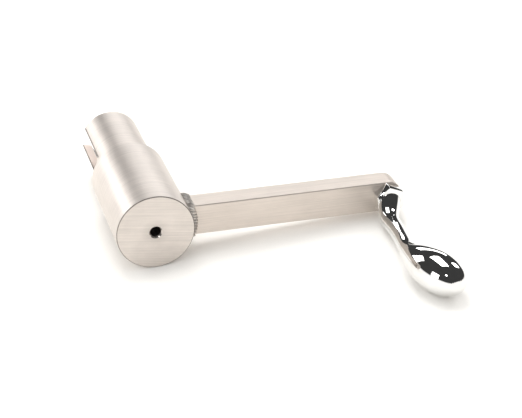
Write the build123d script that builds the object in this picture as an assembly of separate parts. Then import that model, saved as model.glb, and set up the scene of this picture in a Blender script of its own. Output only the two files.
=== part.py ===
"""Crank handle: a stainless hub and arm welded together, with a chrome-plated offset grip.

The hub slides over a machine's shaft from behind. A slot in its wall takes the shaft's drive
pin, and a small hole in its front face takes the retaining screw. The grip screws into the
arm's full-radius end.

Units are millimetres. The crank is first built square, with the shaft's axis along Y and the
arm along +X. It is then turned about the shaft's axis until the hub and the grip's belly rest
on one level surface, which is how it lies on a bench. The origin is the centre of the socket's
mouth, and +Y points out of the mouth.
"""
import os
from math import asin, atan2, cos, degrees, hypot, radians, sin, sqrt

from build123d import *

# hub
hub_diameter = 44.45
hub_length = 124.5
spigot_diameter = 35.6
spigot_length = 54.5
socket_diameter = 25.4
web_thickness = 14.0
screw_hole_diameter = 6.35
screw_hole_chamfer = 0.6
hub_edge_break = 0.4
slot_width = 11.0
slot_length = 43.5
slot_turn = 9.0                 # degrees up round the hub from the point opposite the arm

# arm
arm_height = 18.2
arm_thickness = 13.5
arm_setback = 8.1               # from the hub's front face to the arm's front face
crank_throw = 139.7             # from the shaft's axis to the grip stud's axis
arm_edge_break = 0.4

# weld
weld_reach = 4.8                # along the arm, out from the hub
weld_spread = 3.4               # along the hub, out from the arm

# grip
stud_diameter = 9.525
stud_end_gap = 0.8              # the stud stops this far short of the arm's back face
thread_clearance = 0.05
hex_across_flats = 15.875
hex_thickness = 6.5
hex_turn = 35.0
hex_chamfer = 0.8
boss_radius = 7.0
boss_standoff = 4.9             # from the arm's front face to the ball's centre
neck_diameter = 7.8
neck_root_diameter = 12.4
neck_straight = 13.0
neck_bend_radius = 56.0
neck_lean = 24.0                # degrees away from the stud's axis as the neck leaves the boss
belly_lean = 14.0               # degrees back towards the stud's axis along the belly
bend_plane_tilt = 35.0          # degrees below the arm's plane, turned about the stud's axis
belly_diameter = 24.6
belly_length = 56.0
belly_widest_share = 0.56       # how far along the belly it is widest

hub_radius = hub_diameter / 2
spigot_radius = spigot_diameter / 2
front_y = -hub_length
shoulder_y = -spigot_length
arm_front_y = front_y + arm_setback
arm_middle_y = arm_front_y + arm_thickness / 2


def turned(profile):
    """One solid of revolution about the Y axis from (radius, y) points."""
    points = [(radius, y) for radius, y in profile]
    return revolve(make_face(Polyline(*points, close=True)), Axis.Y, 360)


def make_hub():
    edge = hub_edge_break
    outside = turned([
        (0, front_y),
        (hub_radius - edge, front_y),
        (hub_radius, front_y + edge),
        (hub_radius, shoulder_y - edge),
        (hub_radius - edge, shoulder_y),
        (spigot_radius, shoulder_y),
        (spigot_radius, -edge),
        (spigot_radius - edge, 0),
        (0, 0),
    ])
    socket = turned([
        (0, front_y + web_thickness),
        (socket_diameter / 2, front_y + web_thickness),
        (socket_diameter / 2, -edge),
        (socket_diameter / 2 + edge, 0),
        (socket_diameter / 2 + edge, 1),
        (0, 1),
    ])
    hole_radius = screw_hole_diameter / 2
    screw_hole = turned([
        (0, front_y - 1),
        (hole_radius + screw_hole_chamfer, front_y - 1),
        (hole_radius + screw_hole_chamfer, front_y),
        (hole_radius, front_y + screw_hole_chamfer),
        (hole_radius, front_y + web_thickness + 1),
        (0, front_y + web_thickness + 1),
    ])
    return outside - socket - screw_hole - drive_slot()


def drive_slot():
    """Round-ended slot through one wall of the spigot, open at the socket's mouth."""
    straight = slot_length - slot_width / 2
    depth = spigot_radius + 1
    runout = Pos(-depth / 2, -straight, 0) * Rot(0, 90, 0) * Cylinder(slot_width / 2, depth)
    channel = Pos(-depth / 2, (1 - straight) / 2, 0) * Box(depth, straight + 1, slot_width)
    return Rot(0, slot_turn, 0) * (runout + channel)


def make_arm():
    """Flat bar, coped to the hub, with its free end rounded about the grip's stud."""
    bar = Pos(crank_throw / 2, arm_middle_y, 0) * Box(crank_throw, arm_thickness, arm_height)
    end = Pos(crank_throw, arm_middle_y, 0) * Rot(90, 0, 0) * Cylinder(arm_height / 2, arm_thickness)
    bar = bar + end
    long_edges = [
        edge for edge in bar.edges()
        if edge.length > arm_height and abs(edge.center().Y - arm_middle_y) > arm_thickness / 4
    ]
    bar = chamfer(long_edges, arm_edge_break)
    cope = Pos(0, arm_middle_y, 0) * Rot(90, 0, 0) * Cylinder(hub_radius, 2 * arm_thickness)
    tapped = Pos(crank_throw, arm_middle_y, 0) * Rot(90, 0, 0) * Cylinder(
        stud_diameter / 2 + thread_clearance, 2 * arm_thickness)
    return bar - cope - tapped


def make_weld(arm):
    """Fillet weld all round the arm's root, lying on the hub's curve."""
    reach_radius = hub_radius + weld_reach
    half = arm_height / 2
    arm_back_y = arm_front_y + arm_thickness
    round_hub = turned([
        (hub_radius - weld_spread, arm_front_y - weld_spread),
        (hub_radius, arm_front_y - weld_spread),
        (reach_radius, arm_front_y),
        (reach_radius, arm_back_y),
        (hub_radius, arm_back_y + weld_spread),
        (hub_radius - weld_spread, arm_back_y + weld_spread),
    ])
    toe = half + weld_spread
    toe_x = sqrt(hub_radius ** 2 - toe ** 2)
    reach_x = sqrt(reach_radius ** 2 - half ** 2)
    across = make_face(Polyline(
        (toe_x, toe), (reach_x, half), (reach_radius + 1, half),
        (reach_radius + 1, -half), (reach_x, -half), (toe_x, -toe), close=True))
    sides = Pos(0, arm_middle_y, 0) * Rot(90, 0, 0) * extrude(across, 2 * arm_thickness, both=True)
    hub_body = Pos(0, arm_middle_y, 0) * Rot(90, 0, 0) * Cylinder(hub_radius, 4 * arm_thickness)
    bar = Pos(crank_throw / 2, arm_middle_y, 0) * Box(crank_throw, arm_thickness, arm_height)
    return (round_hub & sides) - hub_body - bar


def grip_point(out, aside):
    """A point of the grip: out from the arm's front face, and aside from the stud's axis."""
    tilt = radians(bend_plane_tilt)
    return Vector(crank_throw - aside * cos(tilt), arm_front_y - out, -aside * sin(tilt))


def neck_station(share):
    """Centre and direction of the neck's bend, from its start (0) to its end (1)."""
    lean = radians(neck_lean)
    start_out = boss_standoff + neck_straight * cos(lean)
    start_aside = neck_straight * sin(lean)
    angle = lean - share * (lean + radians(belly_lean))
    out = start_out + neck_bend_radius * (sin(lean) - sin(angle))
    aside = start_aside + neck_bend_radius * (cos(angle) - cos(lean))
    along = grip_point(cos(angle), sin(angle)) - grip_point(0, 0)
    return grip_point(out, aside), along


def belly_frame():
    """Where the belly starts, and its direction."""
    return neck_station(1.0)


def make_grip():
    """One casting: threaded stud, hexagon, domed boss, offset neck and egg-shaped belly."""
    stud_length = arm_thickness - stud_end_gap
    at_stud = Pos(crank_throw, arm_front_y, 0)
    stud = at_stud * Pos(0, stud_length / 2, 0) * Rot(90, 0, 0) * Cylinder(
        stud_diameter / 2, stud_length)
    hexagon = extrude(RegularPolygon(hex_across_flats / 2, 6, major_radius=False,
                                     rotation=hex_turn), hex_thickness)
    hexagon = at_stud * Rot(90, 0, 0) * hexagon
    corner_radius = hex_across_flats / sqrt(3)
    trim = at_stud * Rot(90, 0, 0) * Cone(
        corner_radius + hex_thickness, corner_radius - hex_chamfer, hex_thickness + hex_chamfer,
        align=(Align.CENTER, Align.CENTER, Align.MIN))
    hexagon = hexagon & trim
    boss = at_stud * Pos(0, -boss_standoff, 0) * Sphere(boss_radius)

    root_radius = neck_root_diameter / 2
    neck_radius = neck_diameter / 2
    lean = radians(neck_lean)
    first_along = grip_point(cos(lean), sin(lean)) - grip_point(0, 0)
    stations = [(grip_point(boss_standoff, 0), first_along, root_radius)]
    for share, swell in ((0.0, 0.28), (0.25, 0.06), (0.5, 0.0), (0.75, 0.0), (1.0, 0.06)):
        centre, along = neck_station(share)
        stations.append((centre, along, neck_radius + swell * (root_radius - neck_radius)))
    sections = [Plane(origin=centre, z_dir=along) * Circle(radius)
                for centre, along, radius in stations]
    neck = loft(sections)
    behind_face = at_stud * Pos(0, boss_radius, 0) * Box(
        4 * boss_radius, 2 * boss_radius, 4 * boss_radius)
    boss_and_neck = boss + neck - behind_face
    return stud + hexagon + boss_and_neck + make_belly(stations[-1][2])


def make_belly(start_radius):
    centre, along = belly_frame()
    radius = belly_diameter / 2
    widest = belly_length * belly_widest_share
    outline = Spline(
        (start_radius, 0), (radius * 0.66, widest * 0.45), (radius, widest), (0, belly_length),
        tangents=((0.12, 1), (-1, 0)))
    axis_line = Line((0, belly_length), (0, 0))
    foot = Line((0, 0), (start_radius, 0))
    half = make_face(outline + axis_line + foot)
    egg = revolve(half, Axis.Y, 360)
    return Plane(origin=centre, z_dir=along) * Rot(90, 0, 0) * egg


def lay_down_angle():
    """Turn about the shaft's axis that brings the hub and the belly onto one level surface."""
    start, along = belly_frame()
    widest = start + along * (belly_length * belly_widest_share)
    reach = hypot(widest.X, widest.Z)
    drop = asin((hub_radius - belly_diameter / 2) / reach)
    return degrees(drop + atan2(widest.Z, widest.X))


hub = make_hub()
crank_arm = make_arm()
weld_bead = make_weld(crank_arm)
grip = make_grip()

os.makedirs("parts", exist_ok=True)
lay_down = Rot(0, lay_down_angle(), 0)
for name, solid in (("hub", hub), ("crank_arm", crank_arm), ("weld_bead", weld_bead),
                    ("grip", grip)):
    placed = lay_down * solid
    placed.label = name
    export_step(placed, f"parts/{name}.step")
print("lay-down angle", round(lay_down_angle(), 3))
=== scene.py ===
import math

import bpy
from mathutils import Matrix, Vector


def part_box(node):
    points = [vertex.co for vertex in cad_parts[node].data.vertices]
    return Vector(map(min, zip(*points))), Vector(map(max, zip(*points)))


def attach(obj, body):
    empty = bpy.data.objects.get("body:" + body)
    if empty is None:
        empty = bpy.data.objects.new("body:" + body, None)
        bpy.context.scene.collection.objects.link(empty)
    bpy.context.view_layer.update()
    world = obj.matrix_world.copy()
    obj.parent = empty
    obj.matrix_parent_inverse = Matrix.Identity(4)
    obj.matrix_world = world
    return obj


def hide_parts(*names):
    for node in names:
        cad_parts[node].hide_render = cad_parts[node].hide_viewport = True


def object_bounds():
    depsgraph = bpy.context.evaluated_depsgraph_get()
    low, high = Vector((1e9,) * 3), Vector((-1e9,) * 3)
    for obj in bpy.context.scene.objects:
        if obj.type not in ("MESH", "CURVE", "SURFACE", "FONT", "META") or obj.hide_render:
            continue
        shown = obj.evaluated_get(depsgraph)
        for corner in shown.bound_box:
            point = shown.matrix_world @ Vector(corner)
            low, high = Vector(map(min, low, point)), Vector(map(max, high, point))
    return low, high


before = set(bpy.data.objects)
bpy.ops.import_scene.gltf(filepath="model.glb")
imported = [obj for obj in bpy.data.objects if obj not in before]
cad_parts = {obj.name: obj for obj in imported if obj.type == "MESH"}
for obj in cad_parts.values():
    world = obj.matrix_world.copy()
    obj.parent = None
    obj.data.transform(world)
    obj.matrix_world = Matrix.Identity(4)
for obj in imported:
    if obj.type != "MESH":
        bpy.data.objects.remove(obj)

MM = 0.001
cad_low, cad_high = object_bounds()

# ---------------------------------------------------------------- places, from the frame
arm_low, arm_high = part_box("crank_arm")
hub_low, hub_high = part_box("hub")

ARM_HEIGHT = 18.2 * MM
END_RADIUS = ARM_HEIGHT / 2
STUD = Vector((arm_high.x - END_RADIUS, arm_low.y, arm_low.z + END_RADIUS))
STUD_RADIUS = 9.525 / 2 * MM
STUD_LENGTH = 12.7 * MM
HEX_ACROSS_FLATS = 15.875 * MM
HEX_THICKNESS = 6.5 * MM
HEX_TURN = math.radians(-4)

# the crank lies on the hub and the belly, so its arm slopes down to the grip
LAY_DOWN = math.atan2(-STUD.z, STUD.x)
ALONG_ARM = Vector((math.cos(LAY_DOWN), 0, -math.sin(LAY_DOWN)))
UP_FROM_ARM = Vector((math.sin(LAY_DOWN), 0, math.cos(LAY_DOWN)))

HUB_RADIUS = (hub_high.x - hub_low.x) / 2
SPIGOT_RADIUS = 35.6 / 2 * MM
SOCKET_RADIUS = 25.4 / 2 * MM
SCREW_HOLE_RADIUS = 6.35 / 2 * MM
COUNTERSINK = 0.6 * MM
EDGE_BREAK = 0.4 * MM
SLOT_WIDTH = 11 * MM
SLOT_LENGTH = 43.5 * MM  # from the hub's rear end, which is at y 0
SLOT_TURN = math.radians(9) + LAY_DOWN
SANDING_TURN = math.radians(-11.3)

# ---------------------------------------------------------------- camera
CAMERA_STAND = Vector((-132.1, -832.0, 417.0)) * MM
CAMERA_LOOK = Vector((0.2290, 0.8399, -0.4921))
CAMERA_UP = Vector((0.1778, 0.4610, 0.8694))
CAMERA_LENS_MM = 103.5


def add_camera():
    data = bpy.data.cameras.new("camera")
    data.lens = CAMERA_LENS_MM
    camera = bpy.data.objects.new("camera", data)
    bpy.context.scene.collection.objects.link(camera)
    back = -CAMERA_LOOK.normalized()
    right = CAMERA_UP.cross(back).normalized()
    up = back.cross(right)
    turn = Matrix((right, up, back)).transposed()
    camera.matrix_world = Matrix.Translation(CAMERA_STAND) @ turn.to_4x4()
    bpy.context.scene.camera = camera


# ---------------------------------------------------------------- materials
def linear(hex_colour):
    """An sRGB hex colour as the linear RGBA that a shader takes."""
    parts = [int(hex_colour[i:i + 2], 16) / 255 for i in (1, 3, 5)]
    return [p / 12.92 if p <= 0.04045 else ((p + 0.055) / 1.055) ** 2.4 for p in parts] + [1]


def node(owner, kind, settings=None, **links):
    """Adds a node to a material or world, with its settings and inputs.

    An input goes by its name, as in Base_Color, or its number, as in i0. It is given a
    value, a socket to link, or a node, whose first output in use is linked.
    """
    made = owner.node_tree.nodes.new(kind)
    for name, value in (settings or {}).items():
        setattr(made, name, value)
    for name, value in links.items():
        by_number = name[0] == "i" and name[1:].isdigit()
        socket = made.inputs[int(name[1:]) if by_number else name.replace("_", " ")]
        if isinstance(value, bpy.types.Node):
            value = next(output for output in value.outputs if output.enabled)
        if isinstance(value, bpy.types.NodeSocket):
            owner.node_tree.links.new(value, socket)
        else:
            socket.default_value = value
    return made


TIMES = {"operation": "MULTIPLY"}
BLEND = {"data_type": "RGBA"}
DARKEN = {"data_type": "RGBA", "blend_type": "MULTIPLY"}
# most of a noise's values lie between these
MIDDLE = {"From_Min": 0.3, "From_Max": 0.7}
# a zone reaches this far past the surface that it colours
SKIN = 0.05 * MM


def new_material(name):
    material = bpy.data.materials.new(name)
    material.use_nodes = True
    material.node_tree.nodes.clear()
    return material


def grain(material, cell_mm, detail=5.0, turn=0.0):
    """Noise with cells of this size in millimetres along X, Y and Z, turned about Y."""
    point = node(material, "ShaderNodeTexCoord").outputs["Object"]
    turned = node(material, "ShaderNodeMapping", Vector=point, Rotation=(0, turn, 0))
    place = node(material, "ShaderNodeMapping", Vector=turned,
                 Scale=[1 / (size * MM) for size in cell_mm])
    return node(material, "ShaderNodeTexNoise", Vector=place, Scale=1.0, Detail=detail,
                Roughness=0.65)


def zone(material, *tests):
    """1 where every test holds and 0 elsewhere. A test is a value, its kind and a limit."""
    held = [node(material, "ShaderNodeMath", {"operation": kind}, i0=value, i1=limit)
            for value, kind, limit in tests]
    inside = held[0]
    for test in held[1:]:
        inside = node(material, "ShaderNodeMath", TIMES, i0=inside, i1=test)
    return inside


def streaked(material, base, lines, patches, darkest):
    """The base colour, lighter and darker along the fine lines and in broad patches."""
    fine = node(material, "ShaderNodeMapRange", Value=lines, To_Min=0.86, To_Max=1.08,
                **MIDDLE)
    broad = node(material, "ShaderNodeMapRange", Value=patches, To_Min=darkest, To_Max=1.05,
                 **MIDDLE)
    tone = node(material, "ShaderNodeMath", TIMES, i0=fine, i1=broad)
    return node(material, "ShaderNodeMix", DARKEN, i0=1.0, i6=base, i7=tone)


def metal(material, colour, roughness, height, depth_mm, mirror=1.0):
    """Bare metal: mirror below 1 is a satin finish that scatters part of the light."""
    bump = node(material, "ShaderNodeBump", Height=height, Strength=1.0,
                Distance=depth_mm * MM)
    shader = node(material, "ShaderNodeBsdfPrincipled", Base_Color=colour, Metallic=mirror,
                  Roughness=roughness, Normal=bump)
    node(material, "ShaderNodeOutputMaterial", Surface=shader)
    return material


def turned_stainless():
    # Lathe-turned stainless bar with a hand-sanded front face: fine rings round the barrel,
    # straight lines across the face, and soft highlights where a polish would mirror.
    material = new_material("turned stainless, sanded face")
    point = node(material, "ShaderNodeTexCoord").outputs["Object"]
    along = node(material, "ShaderNodeSeparateXYZ", Vector=point).outputs["Y"]
    off_axis = node(material, "ShaderNodeVectorMath", TIMES, i0=point, i1=(1, 0, 1))
    radius = node(material, "ShaderNodeVectorMath", {"operation": "LENGTH"}, i0=off_axis)

    # such feed marks and grit lines are 0.1 to 0.2 mm apart: drawn coarser, so they show
    rings = grain(material, (33.333, 0.66667, 33.333))
    sanding = grain(material, (45.455, 45.455, 0.76923), 7.0, SANDING_TURN)
    on_face = zone(material, (along, "LESS_THAN", hub_low.y + 0.15 * MM))
    lines = node(material, "ShaderNodeMix", {"data_type": "FLOAT"}, i0=on_face, i2=rings,
                 i3=sanding)
    patches = grain(material, (14.286, 33.333, 9.0909), 3.0)
    colour = streaked(material, linear("#D6CEC7"), lines, patches, 0.95)

    # a thin line of painted dark reflection on the chamfer, where the sharp front edge was
    # broken
    painted_chamfer_reflection = zone(material, (radius, "GREATER_THAN", HUB_RADIUS - EDGE_BREAK - SKIN),
                (along, "LESS_THAN", hub_low.y + EDGE_BREAK + SKIN))
    # handling has dulled the face round the screw hole
    halo = node(material, "ShaderNodeMapRange", Value=radius,
                From_Min=SCREW_HOLE_RADIUS + SKIN / 2, From_Max=8.5 * MM,
                To_Min=0.84, To_Max=1.0)
    # painted light and shade on the milled slot: painted light inside it, painted shade along
    # its lip and a painted dark line along its upper edge
    below_surface = (radius, "LESS_THAN", SPIGOT_RADIUS - 2 * SKIN)
    rear_part = (along, "GREATER_THAN", -SLOT_LENGTH - 6.5 * MM)
    painted_light_in_slot = zone(material, below_surface, rear_part)
    painted_shade_on_slot_lip = zone(material, below_surface, rear_part,
               (radius, "GREATER_THAN", SPIGOT_RADIUS - 0.6 * MM))
    level = node(material, "ShaderNodeMapping", Vector=point, Rotation=(0, -SLOT_TURN, 0))
    across = node(material, "ShaderNodeSeparateXYZ", Vector=level)
    # painted shade: a dark line along the slot's upper edge
    painted_shade_on_slot_edge = zone(material, (across.outputs["Z"], "GREATER_THAN", SLOT_WIDTH / 2 - 0.1 * MM),
                (across.outputs["Z"], "LESS_THAN", SLOT_WIDTH / 2 + 0.9 * MM),
                (across.outputs["X"], "LESS_THAN", 0),
                (along, "GREATER_THAN", -SLOT_LENGTH + 1.5 * MM))
    # painted shade darkens the bores
    painted_shade_in_bores = zone(material, (radius, "LESS_THAN", SOCKET_RADIUS + SKIN),
                (along, "GREATER_THAN", hub_low.y + 1.7 * MM))

    # mixes in the painted reflection on the chamfer, the dulled halo, the painted light and
    # shade of the slot and the painted shade in the bores
    for mask, how, tint in ((painted_chamfer_reflection, BLEND, linear("#8A827C")), (1.0, DARKEN, halo),
                            (painted_light_in_slot, BLEND, linear("#E0D0C6")), (painted_shade_on_slot_lip, BLEND, linear("#5E5651")),
                            (painted_shade_on_slot_edge, BLEND, linear("#7F766F")), (painted_shade_in_bores, BLEND, linear("#4A4340"))):
        colour = node(material, "ShaderNodeMix", how, i0=mask, i6=colour, i7=tint)

    # the countersink was cut last, and is brighter than the face
    countersink = zone(
        material, (radius, "LESS_THAN", SCREW_HOLE_RADIUS + COUNTERSINK + SKIN / 2),
        (along, "LESS_THAN", hub_low.y + COUNTERSINK + SKIN))
    satin = node(material, "ShaderNodeMapRange", Value=lines, To_Min=0.36, To_Max=0.46,
                 **MIDDLE)
    roughness = node(material, "ShaderNodeMix", {"data_type": "FLOAT"}, i0=countersink,
                     i2=satin, i3=0.14)
    return metal(material, colour, roughness, lines, 0.012, 0.8)


def brushed_stainless():
    # Flat stainless bar, belt-brushed: long lines that run with the arm, and a soft sheen.
    material = new_material("brushed stainless bar")
    # such belt lines are 0.1 to 0.2 mm apart: drawn coarser, so they show
    lines = grain(material, (55.556, 0.90909, 0.66667), 7.0, -LAY_DOWN)
    patches = grain(material, (25, 11.111, 11.111), 3.0)
    colour = streaked(material, linear("#D6CCC3"), lines, patches, 0.94)
    satin = node(material, "ShaderNodeMapRange", Value=lines, To_Min=0.36, To_Max=0.46,
                 **MIDDLE)
    return metal(material, colour, satin, lines, 0.012, 0.72)


def raw_weld():
    # TIG bead left as welded: a dull, grainy grey with darker soot in patches.
    material = new_material("raw weld bead")
    # solidified grains are some 0.3 mm: drawn coarser, so they show
    grains = grain(material, (1.4286, 1.4286, 1.4286), 4.0)
    soot = grain(material, (3.8462, 3.8462, 3.8462), 3.0)
    cleaner = node(material, "ShaderNodeMapRange", Value=soot, **MIDDLE)
    colour = node(material, "ShaderNodeMix", BLEND, i0=cleaner, i6=linear("#9A9591"),
                  i7=linear("#DED8D1"))
    dull = node(material, "ShaderNodeMapRange", Value=grains, To_Min=0.3, To_Max=0.5,
                **MIDDLE)
    return metal(material, colour, dull, grains, 0.1, 0.8)


def chrome_plate():
    # Bright chrome over a polished casting: a clean mirror with faint waves from the
    # polishing wheel, some 8 mm long, and a few dull smudges of 17 mm.
    material = new_material("polished chrome plate")
    waves = grain(material, (7.6923, 7.6923, 7.6923), 2.0)
    smudges = grain(material, (16.667, 16.667, 16.667), 4.0)
    clean = node(material, "ShaderNodeMapRange", Value=smudges, **MIDDLE)
    colour = node(material, "ShaderNodeMix", BLEND, i0=clean, i6=linear("#E2E1DF"),
                  i7=linear("#F1F1F0"))
    dull = node(material, "ShaderNodeMapRange", Value=smudges, To_Min=0.015, To_Max=0.05,
                **MIDDLE)
    return metal(material, colour, dull, waves, 0.03)


def paper_sweep():
    # Matt white background paper, whose fibres of about a millimetre barely show.
    material = new_material("white paper sweep")
    fibres = grain(material, (1.1111, 1.1111, 1.1111), 4.0)
    mottle = node(material, "ShaderNodeMapRange", Value=fibres, **MIDDLE)
    colour = node(material, "ShaderNodeMix", BLEND, i0=mottle, i6=linear("#F7F5F1"),
                  i7=linear("#F3F1ED"))
    shader = node(material, "ShaderNodeBsdfDiffuse", Color=colour)
    node(material, "ShaderNodeOutputMaterial", Surface=shader)
    return material


# ---------------------------------------------------------------- room
LAMPS_AIM = Vector((60, -120, 0)) * MM

# name, azimuth (0 behind the crank, 90 to its right), elevation, distance, width, height
# in metres, and watts
SOFTBOXES = (
    ("left back softbox", -38, 22, 1.5, 0.5, 0.7, 5.2),
    ("overhead softbox", 0, 70, 1.2, 0.6, 0.75, 5.8),
    ("left front softbox", -100, 16, 1.5, 0.5, 0.6, 3),
    ("right softbox", 66, 35, 1.4, 0.3, 0.5, 3),
    ("back softbox", 20, 21, 1.7, 1.2, 0.26, 4.2),
    ("small lamp", -137, 44, 1.4, 0.16, 0.16, 0.8),
)


def add_floor():
    bpy.ops.mesh.primitive_plane_add(size=8.0, location=(0, 0, cad_low.z))
    floor = bpy.context.object
    floor.name = "floor"
    floor.data.materials.append(paper_sweep())


def add_softbox(name, azimuth, elevation, distance, wide, high, watts):
    data = bpy.data.lights.new(name, "AREA")
    data.shape = "RECTANGLE"
    data.size = wide
    data.size_y = high
    data.energy = watts
    lamp = bpy.data.objects.new(name, data)
    bpy.context.scene.collection.objects.link(lamp)
    a, e = math.radians(azimuth), math.radians(elevation)
    way = Vector((math.sin(a) * math.cos(e), math.cos(a) * math.cos(e), math.sin(e)))
    lamp.location = LAMPS_AIM + way * distance
    lamp.rotation_mode = "QUATERNION"
    lamp.rotation_quaternion = way.to_track_quat("Z", "Y")
    lamp.visible_camera = False


def add_world():
    """White to the camera, a soft even fill, and for metal a dark room over a low backdrop."""
    world = bpy.data.worlds.new("room")
    world.use_nodes = True
    world.node_tree.nodes.clear()
    white = linear("#FFFFFF")
    rays = node(world, "ShaderNodeLightPath")
    fill = node(world, "ShaderNodeBackground", Color=white, Strength=0.95)
    # metal mirrors the white backdrop up to about 4 degrees, and the dark room above it
    way = node(world, "ShaderNodeTexCoord").outputs["Generated"]
    rise = node(world, "ShaderNodeSeparateXYZ", Vector=way).outputs["Z"]
    glow = node(world, "ShaderNodeMapRange", Value=rise, From_Min=0.05, From_Max=0.09,
                To_Min=1.0, To_Max=0.05)
    mirrored = node(world, "ShaderNodeBackground", Color=white, Strength=glow)
    backdrop = node(world, "ShaderNodeBackground", Color=white)
    lit = node(world, "ShaderNodeMixShader", i0=rays.outputs["Is Glossy Ray"], i1=fill,
               i2=mirrored)
    seen = node(world, "ShaderNodeMixShader", i0=rays.outputs["Is Camera Ray"], i1=lit,
                i2=backdrop)
    node(world, "ShaderNodeOutputWorld", Surface=seen)
    bpy.context.scene.world = world


def add_room():
    add_floor()
    for softbox in SOFTBOXES:
        add_softbox(*softbox)
    add_world()


# ---------------------------------------------------------------- pieces
def dress(name, material):
    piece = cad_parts[name]
    piece.data.materials.clear()
    piece.data.materials.append(material)


def deselect():
    if bpy.context.object and bpy.context.object.mode != "OBJECT":
        bpy.ops.object.mode_set(mode="OBJECT")
    bpy.ops.object.select_all(action="DESELECT")


def join(first, *others):
    """Joins the other parts into the first one."""
    deselect()
    for part in (first, *others):
        part.select_set(True)
    bpy.context.view_layer.objects.active = first
    bpy.ops.object.join()
    return first


def finish_piece(piece, name, material, stands_for):
    """Dresses a new piece, puts its place in its mesh, and has it replace its CAD node."""
    piece.name = name
    piece.data.materials.clear()
    piece.data.materials.append(material)
    bpy.ops.object.transform_apply(location=True, rotation=True, scale=True)
    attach(piece, "root")
    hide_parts(stands_for)
    deselect()


# ---------------------------------------------------------------- grip
# (out from the arm's face, along X, up, radius), in millimetres from the stud's centre
GRIP_RINGS = (
    (0.5, 0.0, 0.0, 6.8), (4.0, 0.0, 0.0, 7.0), (7.5, -1.2, -1.6, 6.8),
    (10.5, -2.7, -4.2, 6.4), (14.0, -4.0, -6.1, 5.7), (20.0, -4.8, -6.4, 5.0),
    (29.5, -5.2, -5.5, 4.8), (40.0, -6.9, -3.8, 4.6), (49.0, -8.5, -2.4, 4.5),
    (55.0, -9.1, -1.9, 4.9), (60.0, -9.0, -1.6, 6.0), (64.5, -8.3, -1.4, 7.5),
    (69.5, -7.2, -1.2, 9.2), (76.0, -5.8, -1.2, 11.0), (83.0, -4.3, -1.0, 12.0),
    (90.0, -2.7, -1.0, 11.7), (96.5, -1.2, -0.9, 9.9), (101.0, -0.1, -0.8, 7.2),
)


def grip_place(out, along, up):
    return STUD + Vector((along, -out, up)) * MM


def edit_all():
    bpy.ops.object.mode_set(mode="EDIT")
    bpy.ops.mesh.select_all(action="SELECT")


def break_edges(width_mm, segments, crease_degrees):
    """Bevels every edge of the new primitive and shades its flats flat."""
    edit_all()
    bpy.ops.mesh.bevel(offset=width_mm * MM, segments=segments, affect="EDGES")
    bpy.ops.object.mode_set(mode="OBJECT")
    bpy.ops.object.shade_smooth_by_angle(angle=math.radians(crease_degrees))
    return bpy.context.object


def make_handle():
    """Domed root, bowed neck and egg-shaped belly, drawn out ring by ring from one circle."""
    deselect()
    place, radius = grip_place(*GRIP_RINGS[0][:3]), GRIP_RINGS[0][3]
    bpy.ops.mesh.primitive_circle_add(vertices=24, radius=radius * MM, fill_type="NGON",
                                      location=place, rotation=(math.pi / 2, 0, 0))
    edit_all()
    for out, along, up, new_radius in GRIP_RINGS[1:]:
        new_place = grip_place(out, along, up)
        bpy.ops.mesh.extrude_region_move(
            TRANSFORM_OT_translate={"value": new_place - place})
        bpy.ops.transform.resize(value=(new_radius / radius,) * 3,
                                 center_override=new_place)
        place, radius = new_place, new_radius
    bpy.ops.mesh.inset(thickness=0.5 * radius * MM, depth=2.6 * MM)
    bpy.ops.mesh.poke()
    bpy.ops.mesh.select_all(action="SELECT")
    bpy.ops.mesh.normals_make_consistent(inside=False)
    bpy.ops.object.mode_set(mode="OBJECT")
    handle = bpy.context.object
    smooth = handle.modifiers.new("smooth", "SUBSURF")
    smooth.levels = smooth.render_levels = 3
    bpy.ops.object.modifier_apply(modifier="smooth")
    bpy.ops.object.shade_smooth()
    return handle


def make_hexagon():
    deselect()
    bpy.ops.mesh.primitive_cylinder_add(
        vertices=6, radius=HEX_ACROSS_FLATS / math.sqrt(3), depth=HEX_THICKNESS,
        location=STUD - Vector((0, HEX_THICKNESS / 2, 0)),
        rotation=(math.pi / 2, HEX_TURN, 0))
    return break_edges(0.35, 3, 25)


def make_stud():
    """The stud's end, which shows in the tapped hole behind the arm."""
    deselect()
    bpy.ops.mesh.primitive_cylinder_add(
        vertices=48, radius=STUD_RADIUS, depth=STUD_LENGTH,
        location=STUD + Vector((0, STUD_LENGTH / 2, 0)), rotation=(math.pi / 2, 0, 0))
    return break_edges(0.6, 2, 30)


def make_grip(material):
    stud, hexagon, handle = make_stud(), make_hexagon(), make_handle()
    grip = join(handle, stud, hexagon)
    finish_piece(grip, "grip_body", material, "grip")


# ---------------------------------------------------------------- weld
SCALE_SPACING = 1.9 * MM
SCALE_TILT = math.radians(22)
# half sizes of one scale, in millimetres: out from the hub, across the bead, along it
SCALE_OUT, SCALE_ACROSS, SCALE_ALONG = 3.5, 2.5, 1.1
VOXEL = 0.25 * MM


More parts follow.
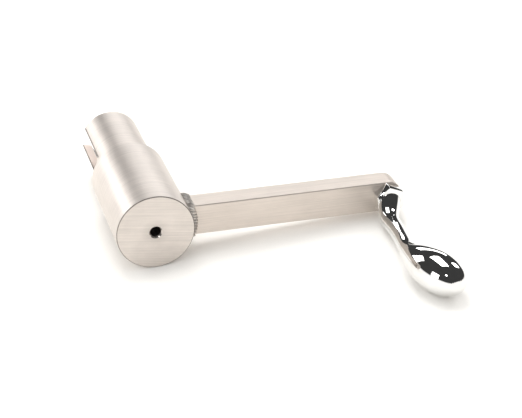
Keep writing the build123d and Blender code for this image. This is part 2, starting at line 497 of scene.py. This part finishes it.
def weld_path():
    """Points round the bar where it meets the hub, with the way that the bead travels."""
    half, thick = ARM_HEIGHT / 2, arm_high.y - arm_low.y
    sides = (((arm_low.y, half), (0, -1), 2 * half), ((arm_low.y, -half), (1, 0), thick),
             ((arm_high.y, -half), (0, 1), 2 * half), ((arm_high.y, half), (-1, 0), thick))
    for (y, z), (way_y, way_z), length in sides:
        steps = round(length / SCALE_SPACING)
        for step in range(steps):
            done = length * (step + 0.5) / steps
            yield y + way_y * done, z + way_z * done, way_y, way_z


def lay_scale(drop, y, z, way_y, way_z):
    """A copy of the drop in the corner of bar and hub, flattened, leaning on the last one."""
    scale = drop.copy()
    scale.data = drop.data.copy()
    bpy.context.scene.collection.objects.link(scale)
    out = math.sqrt(HUB_RADIUS ** 2 - z ** 2) + 0.8 * MM
    scale.location = ALONG_ARM * out + UP_FROM_ARM * z + Vector((0, y, 0))
    scale.rotation_euler = (0, LAY_DOWN - SCALE_TILT * way_z, SCALE_TILT * way_y)
    scale.scale = (SCALE_OUT, SCALE_ALONG, SCALE_ACROSS) if way_y else \
        (SCALE_OUT, SCALE_ACROSS, SCALE_ALONG)
    return scale


def make_weld(material):
    """Overlapping scales laid round the joint one after another, melted into one bead."""
    deselect()
    bpy.ops.mesh.primitive_uv_sphere_add(segments=16, ring_count=10, radius=1.0 * MM)
    drop = bpy.context.object
    scales = [lay_scale(drop, *step) for step in weld_path()]
    bpy.data.objects.remove(drop)
    bead = join(*scales)
    bpy.ops.object.transform_apply(location=True, rotation=True, scale=True)
    melt = bead.modifiers.new("melt", "REMESH")
    melt.mode = "VOXEL"
    melt.voxel_size = VOXEL
    bpy.ops.object.modifier_apply(modifier="melt")
    bpy.ops.object.shade_smooth()
    finish_piece(bead, "weld_scales", material, "weld_bead")


# ---------------------------------------------------------------- the crank
deselect()
add_camera()
add_room()
dress("hub", turned_stainless())
dress("crank_arm", brushed_stainless())
make_grip(chrome_plate())
make_weld(raw_weld())

bpy.context.scene.view_settings.view_transform = "Standard"
